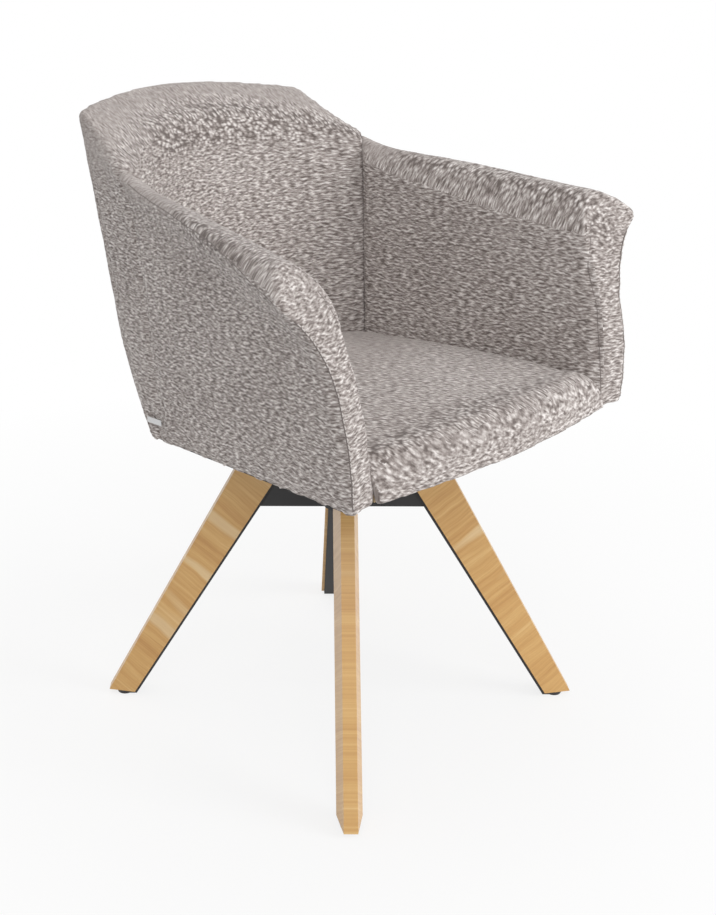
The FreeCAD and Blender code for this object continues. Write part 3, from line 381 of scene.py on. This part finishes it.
def smooth(obj, rounds, weight=1.0):
    """Evens the mesh out; weight is one number, or one for each point."""
    mesh = obj.data
    count = len(mesh.vertices)
    ends = np.zeros(len(mesh.edges) * 2, np.int32)
    mesh.edges.foreach_get("vertices", ends)
    a, b = ends.reshape(-1, 2).T
    degree = np.bincount(a, minlength=count) + np.bincount(b, minlength=count)
    points = points_of(obj)
    share = np.broadcast_to(np.asarray(weight, float), (count,))[:, None] * 0.5
    for _ in range(rounds):
        total = np.stack([np.bincount(a, points[b, k], count)
                          + np.bincount(b, points[a, k], count) for k in range(3)], 1)
        points += share * (total / degree[:, None] - points)
    set_points(obj, points)


def distance_to_line(points, line):
    """Each point's distance to a line of points."""
    line = np.asarray(line, float)
    best = np.full(len(points), np.inf)
    for start, end in zip(line[:-1], line[1:]):
        way = end - start
        share = np.clip((points - start) @ way / np.linalg.norm(way) ** 2, 0.0, 1.0)
        gap = np.linalg.norm(points - start - share[:, None] * way, axis=1)
        best = np.minimum(best, gap)
    return best


def firm(obj):
    """Smoothing weights: the stapled bottom edge, which rises to the front, keeps its shape."""
    points = points_of(obj)
    above = points[:, 2] - (0.428 - 0.1085 * (points[:, 1] - AXIS_Y + 0.258))
    return 0.15 + 0.85 * step_up(above, 0.002, 0.02)


def bell(distance, width):
    """1 at no distance, falling off to nothing a few widths away."""
    return np.exp(-(distance / width) ** 2)


CELL_PRIMES = np.array((73856093, 19349663, 83492791))
MIXING_PRIME = 1274126177


def waves(points, scale):
    """Smooth random values from -1 to 1 over space, the same on every run."""
    spots = np.asarray(points) * scale
    cell = np.floor(spots).astype(np.int64)
    share = spots - cell
    share = share * share * (3.0 - 2.0 * share)
    total = np.zeros(len(spots))
    for corner in np.ndindex(2, 2, 2):
        at = cell + np.array(corner)
        mixed = np.bitwise_xor.reduce(at * CELL_PRIMES, axis=1)
        mixed = ((mixed ^ (mixed >> 13)) * MIXING_PRIME) & 0x7FFFFFFF
        value = mixed / float(0x3FFFFFFF) - 1.0
        total += value * np.prod(np.where(corner, share, 1.0 - share), axis=1)
    return total


def step_up(value, low, high):
    """0 up to low and 1 from high on, smoothly."""
    t = np.clip((value - low) / (high - low), 0.0, 1.0)
    return t * t * (3.0 - 2.0 * t)


def inflate(obj, pressure, cap, start_in):
    """Blows the skin up as cloth from a slightly smaller shape. It keeps the swell, up to a cap."""
    rest = points_of(obj)
    outward = normals_of(obj)
    set_points(obj, rest - outward * start_in)
    modifier = obj.modifiers.new("cloth", "CLOTH")
    settings = modifier.settings
    settings.quality = 3
    settings.mass = 0.25
    settings.tension_stiffness = 18.0
    settings.compression_stiffness = 18.0
    settings.shear_stiffness = 8.0
    settings.bending_stiffness = 2.0
    settings.use_pressure = True
    settings.uniform_pressure_force = pressure
    settings.effector_weights.gravity = 0.0
    modifier.point_cache.frame_start = 1
    modifier.point_cache.frame_end = FRAMES
    for step in range(1, FRAMES + 1):
        SCENE.frame_set(step)
    blown = baked(obj)
    lift = np.sum((vectors(blown.vertices, "co") - rest) * outward, axis=1)
    obj.modifiers.clear()
    bpy.data.meshes.remove(blown)
    SCENE.frame_set(1)
    set_points(obj, rest + outward * np.clip(lift, -HELD_IN, cap)[:, None])


def subdivided(obj):
    modifier = obj.modifiers.new("finer", "SUBSURF")
    modifier.levels = 1
    modifier.render_levels = 1
    use_mesh(obj, baked(obj))
    obj.data.shade_smooth()


def corner_points(mesh):
    """The point at each corner of each face."""
    point = np.zeros(len(mesh.loops), np.int32)
    mesh.loops.foreach_get("vertex_index", point)
    return point


def fibre_relief(obj):
    """Fine uneven relief in the skin itself, drawn out along the weave."""
    mesh = obj.data
    weave = np.zeros(len(mesh.loops) * 2, np.float32)
    mesh.uv_layers["weave"].data.foreach_get("uv", weave)
    place = np.zeros((len(mesh.vertices), 3))
    place[corner_points(mesh), :2] = weave.reshape(-1, 2)
    lift = waves(place / (RELIEF_LENGTH, RELIEF_WIDTH, 1.0), 1.0)
    set_points(obj, points_of(obj) + normals_of(obj) * (lift * RELIEF_DEPTH)[:, None])


def put_weave(obj, regions):
    """Weave coordinates in metres. regions are (face mask, u for each point, v for each point)."""
    mesh = obj.data
    sizes = np.zeros(len(mesh.polygons), np.int32)
    mesh.polygons.foreach_get("loop_total", sizes)
    point = corner_points(mesh)
    face = np.repeat(np.arange(len(mesh.polygons)), sizes)
    weave = np.zeros((len(mesh.loops), 2))
    for mask, u, v in regions:
        chosen = mask[face]
        weave[chosen, 0] = u[point[chosen]]
        weave[chosen, 1] = v[point[chosen]]
    layer = mesh.uv_layers.new(name="weave")
    layer.data.foreach_set("uv", weave.astype(np.float32).ravel())


def put_number(obj, name, values):
    """A number from 0 to 1 for each point, for the fabric to read."""
    attribute = obj.data.attributes.new(name, "FLOAT", "POINT")
    attribute.data.foreach_set("value", np.clip(values, 0.0, 1.0).astype(np.float32))


# Lines measured on the shell, around the swivel axis, for the +X half

# the outer seam: from the back's corner over the shoulder to the arm's tip
CREASE = ((0.200, 0.291, 0.805), (0.205, 0.260, 0.801), (0.211, 0.245, 0.792),
          (0.215, 0.229, 0.780), (0.220, 0.213, 0.770), (0.226, 0.198, 0.762),
          (0.230, 0.182, 0.752), (0.235, 0.166, 0.744), (0.239, 0.150, 0.736),
          (0.247, 0.118, 0.729), (0.259, 0.076, 0.723), (0.271, 0.029, 0.717),
          (0.285, -0.017, 0.710), (0.294, -0.047, 0.708), (0.305, -0.075, 0.704),
          (0.318, -0.119, 0.692), (0.324, -0.147, 0.679), (0.331, -0.171, 0.671),
          (0.335, -0.193, 0.669), (0.338, -0.214, 0.663))
ROLL_START = 8                  # where a fold begins to show on the crease
# and from the tip down the front
FRONT_SEAM = ((0.317, -0.221, 0.647), (0.300, -0.228, 0.629), (0.286, -0.234, 0.601),
              (0.280, -0.240, 0.579), (0.277, -0.245, 0.556), (0.272, -0.255, 0.507),
              (0.270, -0.259, 0.467), (0.266, -0.258, 0.433))
# where the front facing turns into the inner side
INNER_FOLD = ((0.263, -0.194, 0.663), (0.249, -0.204, 0.636), (0.241, -0.211, 0.608),
              (0.239, -0.221, 0.579), (0.240, -0.230, 0.555), (0.236, -0.235, 0.529),
              (0.231, -0.242, 0.501), (0.226, -0.250, 0.461), (0.226, -0.259, 0.431))
BACK_TOP = ((0.0, 0.349, 0.8255), (0.107, 0.331, 0.821), (0.193, 0.300, 0.810),
            (0.200, 0.291, 0.805))
ARM_TIP = ((0.334, -0.210, 0.668),)


def placed(points, side):
    return np.array([(side * x, y + AXIS_Y, z) for x, y, z in points])


def run_along(line):
    """How far along a line of points each of them lies."""
    return np.concatenate([[0.0], np.cumsum(np.linalg.norm(np.diff(line, axis=0), axis=1))])


def line_at(line, run, at):
    return np.stack([np.interp(at, run, line[:, k]) for k in range(3)], -1)


def on_skin(obj, line, gap):
    """A line resampled evenly and laid on the object's skin, gap above it."""
    tree = BVHTree.FromObject(obj, bpy.context.evaluated_depsgraph_get())
    run = run_along(line)
    even = np.arange(0.0, run[-1] + 1e-9, LINE_STEP)
    laid = []
    for place in line_at(line, run, even):
        spot, normal, _, _ = tree.find_nearest(Vector(place))
        laid.append(np.array(spot) + np.array(normal) * gap)
    laid = np.array(laid)
    for _ in range(4):
        laid[1:-1] = (laid[:-2] + 2.0 * laid[1:-1] + laid[2:]) / 4.0
    return laid


def seam(gap, swell, swell_width, groove, groove_width):
    """How far the cover stands out beside a seam, and draws in along it."""
    return swell * bell(gap, swell_width) - groove * bell(gap, groove_width)


def push_out(obj, push):
    set_points(obj, points_of(obj) + normals_of(obj) * push[:, None])


def weave_of_arm(obj, side):
    """Fibres run level along the side and inner faces, over the roll, and across the facing."""
    x, y, z = points_of(obj).T
    middles = vectors(obj.data.polygons, "center")
    normals = vectors(obj.data.polygons, "normal")
    outward = normals[:, 0] * side
    facing = (-normals[:, 1] > 0.78) & (middles[:, 1] < -0.16)
    roll = (normals[:, 2] > 0.45) & ~facing
    outer = (outward > 0.0) & ~facing & ~roll
    inner = ~facing & ~roll & ~outer
    stretch = 0.55 if side > 0 else 1.0
    return [(outer, y, z + y * 0.1),
            (inner, y + 5.0, z + 7.0),
            (roll, (side * x * 1.2 + z * 0.6) * stretch, y + 11.0),
            (facing, side * x + 1.0, z + 13.0)]


def dress(obj, slot, *hidden):
    """Puts a piece on the shell, in place of the solids it covers."""
    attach(obj, "seat")
    if hidden:
        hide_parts(*hidden)


def cover_with(obj, material):
    obj.data.materials.clear()
    obj.data.materials.append(material)


def finish_soft(obj, hidden):
    cover_with(obj, FABRIC)
    dress(obj, "upholstery", *hidden)


def soft_arm(side_name, side):
    """One arm: pad, side panel and front facing in one skin, with its seams drawn in."""
    hidden = [base + side_name for base in ("arm_pad_", "side_cover_", "arm_facing_")]
    obj = remeshed("arm_" + side_name, hidden + ["side_frame_" + side_name])
    smooth(obj, 3, firm(obj))
    tip = placed(ARM_TIP, side)[0]
    smooth(obj, 14, bell(np.linalg.norm(points_of(obj) - tip, axis=1), 0.028))
    inflate(obj, 3.5, 0.0035, 0.0015)

    points = points_of(obj)
    crease = placed(CREASE, side)
    push = seam(distance_to_line(points, placed(FRONT_SEAM, side)), 0.0016, 0.018, 0.0018, 0.0038)
    push += seam(distance_to_line(points, crease), 0.0012, 0.020, 0.0008, 0.0042)
    push += seam(distance_to_line(points, placed(INNER_FOLD, side)), 0.0008, 0.016, 0.0024, 0.0045)
    push += 0.0009 * waves(points, 9.0)
    rear = step_up(points[:, 1] - AXIS_Y, 0.08, 0.12)
    low = 1.0 - step_up(points[:, 2], 0.40, 0.45)
    push += rear * (REAR_FOOT * low - REAR_TUCK)
    bulge = bell(np.linalg.norm(points - tip, axis=1), 0.042) * TIP_BULGE[side_name]
    moved = points + normals_of(obj) * push[:, None]
    set_points(obj, moved + bulge[:, None] * np.array((side, -0.15, 0.1)))
    subdivided(obj)
    put_weave(obj, weave_of_arm(obj, side))
    fibre_relief(obj)

    points = points_of(obj)
    reach = points[:, 1] - AXIS_Y
    shoulder = bell(reach + 0.05, 0.075) * bell(distance_to_line(points, crease), 0.026)
    fringe = step_up(points[:, 2], 0.62, 0.65) * (1.0 - step_up(reach, 0.06, 0.14))
    fringe *= bell(side * points[:, 0] - (0.247 - 0.167 * (reach + 0.05)),
                   0.014 + 0.05 * np.abs(reach))
    put_number(obj, "loops", np.maximum(shoulder * 1.3, fringe * FRINGE[side_name]))
    put_number(obj, "calm", step_up(reach, -0.02, 0.08) * step_up(points[:, 2], 0.70, 0.73))
    finish_soft(obj, hidden)
    return obj


def rim_depth(points):
    """How far behind the edge of the inner back a point lies, across the sloping rim."""
    x = points[:, 0]
    drop = 0.3 - np.sqrt(np.maximum(0.3 ** 2 - x * x, 0.0))
    rise = 0.825 - 0.52 * 0.349 + 0.007 * (x / 0.169) ** 2 - 0.471
    edge = (0.163 - drop + 0.285 * rise) / (1.0 - 0.285 * 0.52)
    return points[:, 1] - AXIS_Y - edge


def soft_back():
    """The back: pad and outer cover in one skin, with a gathered rim. It overlaps the arms."""
    hidden = ["back_pad", "back_cover"]
    obj = remeshed("back", hidden + ["back_frame"])
    smooth(obj, 3, firm(obj))
    inflate(obj, 3.0, 0.003, 0.0012)

    points = points_of(obj)
    gap = np.minimum(*[distance_to_line(points, placed(BACK_TOP, side)) for _, side in SIDES])
    depth = rim_depth(points)
    on_rim = step_up(points[:, 2], 0.70, 0.76)
    push = seam(gap, 0.0008, 0.020, 0.0010, 0.0042)
    push += 0.0022 * (bell(depth - 0.020, 0.016) - bell(depth + 0.012, 0.008)) * on_rim
    push += 0.0010 * waves(points, 8.0)
    push += BACK_OVERLAP * step_up(np.abs(points[:, 0]), 0.12, 0.20)
    push_out(obj, push)
    subdivided(obj)

    x, y, z = points_of(obj).T
    normals = vectors(obj.data.polygons, "normal")
    front = (normals[:, 1] < -0.2) & (normals[:, 2] < 0.7)
    rim = (normals[:, 2] > 0.5) & ~front
    edge = ~front & ~rim & (np.abs(normals[:, 0]) > 0.62)
    rear = ~front & ~rim & ~edge
    put_weave(obj, [(front, x, z + 17.0), (rim, y + 2.0, x + 19.0), (rear, x + 4.0, z + 23.0),
                    (edge, y + 6.0, z + 27.0)])
    fibre_relief(obj)

    points = points_of(obj)
    depth = rim_depth(points)
    on_rim = step_up(points[:, 2], 0.70, 0.76)
    band = step_up(depth, -0.014, -0.004) * (1.0 - step_up(depth, 0.030, 0.052)) * on_rim
    band *= 0.35 + 0.65 * step_up(points[:, 0], -0.15, -0.09)
    put_number(obj, "loops", band)
    put_number(obj, "calm", step_up(depth, 0.045, 0.07) * on_rim)
    finish_soft(obj, hidden)


def soft_seat():
    """The seat cushion, crowned and puffed at its front roll."""
    obj = remeshed("seat_pad", ["seat_cushion"])
    smooth(obj, 2, firm(obj))
    inflate(obj, 4.0, 0.004, 0.0015)
    sideways = step_up(np.abs(normals_of(obj)[:, 0]), 0.35, 0.7)
    push_out(obj, 0.0022 * sideways + 0.0008 * waves(points_of(obj), 10.0))
    subdivided(obj)

    x, y, z = points_of(obj).T
    front = -vectors(obj.data.polygons, "normal")[:, 1] > 0.62
    put_weave(obj, [(~front, 0.5 * x - 0.87 * y + 29.0, 0.87 * x + 0.5 * y),
                    (front, x + 31.0, z - y * 0.5)])
    fibre_relief(obj)

    points = points_of(obj)
    reach = points[:, 1] - AXIS_Y
    band = bell(reach + 0.226, 0.026) * step_up(points[:, 2], 0.437, 0.452)
    band *= 1.0 - 0.5 * step_up(points[:, 0], 0.0, 0.18)
    put_number(obj, "loops", band * 1.1)
    put_number(obj, "calm", step_up(reach, -0.09, 0.05))
    finish_soft(obj, ["seat_cushion"])


def cord_piece(name, line, radius, material):
    """A thin round cord of mesh along a line of points."""
    line = np.asarray(line, float)
    way = np.gradient(line, axis=0)
    way /= np.linalg.norm(way, axis=1)[:, None]
    first = np.cross(way, (0.3, 0.9, 0.31))
    first /= np.linalg.norm(first, axis=1)[:, None]
    second = np.cross(way, first)
    angles = [2.0 * math.pi * k / CORD_SIDES for k in range(CORD_SIDES)]
    rings = [line + radius * (math.cos(angle) * first + math.sin(angle) * second)
             for angle in angles]
    points = np.stack(rings, 1).reshape(-1, 3)
    starts = range(0, len(points), CORD_SIDES)
    faces = []
    for here, there in zip(starts[:-1], starts[1:]):
        for k in range(CORD_SIDES):
            after = (k + 1) % CORD_SIDES
            faces.append((here + k, here + after, there + after, there + k))
    faces.append(tuple(range(CORD_SIDES))[::-1])
    faces.append(tuple(range(starts[-1], len(points))))
    mesh = bpy.data.meshes.new(name)
    mesh.from_pydata([tuple(p) for p in points], [], faces)
    bm = bmesh.new()
    bm.from_mesh(mesh)
    bmesh.ops.recalc_face_normals(bm, faces=bm.faces)
    bm.to_mesh(mesh)
    bm.free()
    mesh.shade_smooth()
    mesh.materials.append(material)
    return linked(name, mesh)


def front_seam(arm, side_name, side):
    """The front seam with its stitches, a dark cord along it and dark cords in the two folds beside
    it: painted shade of the seam and the folds.
    """
    line = on_skin(arm, placed(FRONT_SEAM, side), 0.0001)
    # dark cord along the front seam in place of the piping, painted shade of the seam's groove
    fold = cord_piece("piping_" + side_name + "_fold", line, 0.0011, SHADOW_THREAD)
    dress(fold, "upholstery", "piping_" + side_name)
    # dark cords sunk in the facing fold and the roll fold, painted shade in the folds
    for name, path in (("facing_fold_shade_", INNER_FOLD), ("roll_fold_shade_", CREASE[ROLL_START:])):
        laid = on_skin(arm, placed(path, side), -0.0002)
        dress(cord_piece(name + side_name, laid, 0.0006, SHADOW_THREAD), "upholstery")

    run = run_along(line)
    bm = bmesh.new()
    place = 0.004
    while place + STITCH_LENGTH + 0.0001 < run[-1]:
        stitch = line_at(line, run, place + STITCH_LENGTH * np.array((0.0, 0.5, 1.0)))
        stitch[1] += (0.0, -0.0009, 0.0)
        piece = cord_piece("dash", stitch + (0.0, -0.0006, 0.0), 0.00065, THREAD)
        dash = piece.data
        bm.from_mesh(dash)
        bpy.data.objects.remove(piece)
        bpy.data.meshes.remove(dash)
        place += STITCH_PITCH
    mesh = bpy.data.meshes.new("stitches_" + side_name)
    bm.to_mesh(mesh)
    bm.free()
    mesh.materials.append(THREAD)
    mesh.shade_smooth()
    dress(linked("stitches_" + side_name, mesh), "upholstery")


def tape_tag():
    """The blank tape tag, a little proud of the side panel."""
    obj = remeshed("tape_tag", ["side_tag"], 0.0004)
    smooth(obj, 4)
    points = points_of(obj)
    middle = points.mean(0)
    points[:, 2] = middle[2] + (points[:, 2] - middle[2]) * 1.2
    points[:, 0] -= 0.0022
    set_points(obj, points)
    cover_with(obj, TAG_CLOTH)
    obj.data.shade_smooth()
    dress(obj, "tag_cloth", "side_tag")


def dust_cover():
    """The thin cloth stretched under the seat board, sagging a millimetre or two."""
    obj = linked("dust_cover", NODES["bottom_cover"].data.copy())
    bm = bmesh.new()
    bm.from_mesh(obj.data)
    bmesh.ops.remove_doubles(bm, verts=bm.verts, dist=WELD)
    bmesh.ops.triangulate(bm, faces=bm.faces)
    for length in (0.12, 0.06, 0.03, 0.016):
        long_edges = [edge for edge in bm.edges if edge.calc_length() > length]
        bmesh.ops.subdivide_edges(bm, edges=long_edges, cuts=1)
        bmesh.ops.triangulate(bm, faces=bm.faces)
    bmesh.ops.dissolve_degenerate(bm, edges=bm.edges, dist=1e-5)
    bmesh.ops.triangulate(bm, faces=bm.faces)
    bm.to_mesh(obj.data)
    obj.data.validate()
    area = sum(face.calc_area() for face in bm.faces) / 2.0
    bm.free()
    points = points_of(obj)
    low, high = points.min(0), points.max(0)
    inside = 1.0 - ((points - (low + high) / 2.0) / ((high - low) / 2.0)) ** 2
    sag = np.clip(inside[:, 0], 0.0, 1.0) * np.clip(inside[:, 1], 0.0, 1.0)
    points[:, 2] -= sag * (0.0012 + 0.0008 * waves(points, 22.0))
    set_points(obj, points)
    cover_with(obj, DUST_CLOTH)
    dress(obj, "dust_cloth", "bottom_cover")
    width, length = high[0] - low[0], high[1] - low[1]


dress_cad_nodes()
for side_name, side in SIDES:
    arm = soft_arm(side_name, side)
    front_seam(arm, side_name, side)
soft_back()
soft_seat()
tape_tag()
dust_cover()


# Stage, light and camera

LAMPS = (("key", (1.7, -3.2, 1.7), 1.8, 74.0),      # name, place, width, watts
         ("fill", (-2.2, -2.0, 2.9), 2.2, 28.0),
         ("top", (0.0, 0.6, 3.2), 2.0, 14.0))
LAMP_TARGET = Vector((0.0, 0.0, 0.45))
AMBIENT = 0.61
FLOOR_HALF = 6.0
EYE = (-1.2637, -1.1772, 1.0283)
YAW, PITCH = math.radians(45.41), math.radians(13.85)


def seen_directly(t):
    """1 for what the camera sees straight on, in a mirror or through glass, else 0."""
    rays = t.node("ShaderNodeLightPath").outputs
    return t.math("MAXIMUM", rays["Is Camera Ray"],
                  t.math("MAXIMUM", rays["Is Glossy Ray"], rays["Is Transmission Ray"]))


def build_floor():
    """A pale floor that keeps a soft shadow near the chair and is white further out."""
    mesh = bpy.data.meshes.new("floor")
    half = FLOOR_HALF
    mesh.from_pydata([(-half, -half, 0), (half, -half, 0), (half, half, 0), (-half, half, 0)],
                     [], [(0, 1, 2, 3)])
    t = Tree(bpy.data.materials.new("pale_floor"))
    t.finish((0.86, 0.86, 0.86, 1.0), 0.8)
    away = t.node("ShaderNodeVectorMath", {0: t.node("ShaderNodeNewGeometry").outputs["Position"]},
                  operation="LENGTH").outputs["Value"]
    share = t.math("MULTIPLY", seen_directly(t), t.fit(away, 0.45, 1.3, 0.8, 1.0))
    glow = t.node("ShaderNodeEmission", {"Color": WHITE, "Strength": 1.0})
    blend = t.node("ShaderNodeMixShader", {0: share, 1: t.shader.outputs[0], 2: glow.outputs[0]})
    t.put(t.tree.nodes["Material Output"].inputs["Surface"], blend.outputs[0])
    mesh.materials.append(t.owner)
    linked("floor", mesh)


def build_light():
    """An even white room, white where it is seen, and three soft lamps."""
    world = bpy.data.worlds.new("white_room")
    SCENE.world = world
    t = Tree(world)
    room = t.tree.nodes["Background"]
    t.put(room.inputs["Color"], WHITE)
    t.put(room.inputs["Strength"], AMBIENT)
    sky = t.node("ShaderNodeBackground", {"Color": WHITE, "Strength": 1.0})
    blend = t.node("ShaderNodeMixShader",
                   {0: seen_directly(t), 1: room.outputs[0], 2: sky.outputs[0]})
    t.put(t.tree.nodes["World Output"].inputs["Surface"], blend.outputs[0])
    for name, place, width, power in LAMPS:
        light = bpy.data.lights.new(name, "AREA")
        light.size = width
        light.energy = power
        lamp = linked(name, light)
        lamp.location = place
        lamp.rotation_euler = (LAMP_TARGET - Vector(place)).to_track_quat("-Z", "Y").to_euler()


def build_camera():
    data = bpy.data.cameras.new("camera")
    data.sensor_width = 36.0
    data.lens = 53.08
    data.shift_x = 0.0975
    data.shift_y = -0.2054
    data.clip_end = 60.0
    camera = linked("camera", data)
    camera.location = EYE
    level = math.cos(PITCH)
    look = Vector((level * math.cos(YAW), level * math.sin(YAW), -math.sin(PITCH)))
    camera.rotation_euler = look.to_track_quat("-Z", "Y").to_euler()
    SCENE.camera = camera


build_floor()
build_light()
build_camera()
SCENE.view_settings.view_transform = "Standard"
